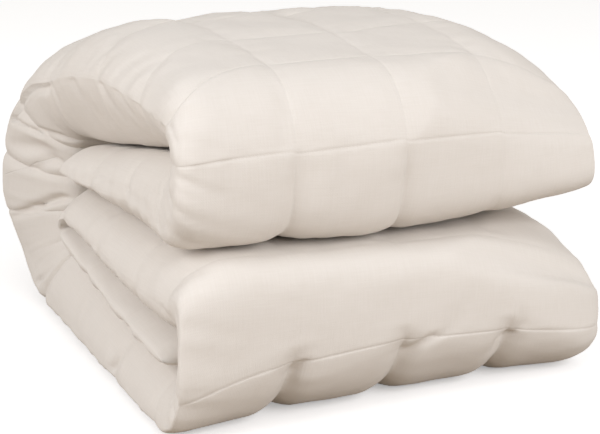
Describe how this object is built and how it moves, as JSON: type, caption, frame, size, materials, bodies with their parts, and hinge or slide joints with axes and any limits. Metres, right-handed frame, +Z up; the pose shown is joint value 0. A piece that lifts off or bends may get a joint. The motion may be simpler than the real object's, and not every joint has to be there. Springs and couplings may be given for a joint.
{
  "type": "folded weighted blanket",
  "caption": "Puffy quilted blanket folded into a stack, with two rounded front folds, soft layered left end and a flat underside.",
  "frame": {"origin": "centre of the bounding box in plan, on the surface that the blanket lies on", "axes": "+X along the folds, from the left end with the layers showing to the right end; +Y from the two front folds to the back fold; +Z up"},
  "size_m": [0.4228, 0.5426, 0.3116],
  "materials": {
    "cloth": "matte ivory plain weave of cotton and linen, with fine slubs and matching stitching"
  },
  "bodies": {
    "root": {"blanket": "cloth"}
  },
  "joints": []
}
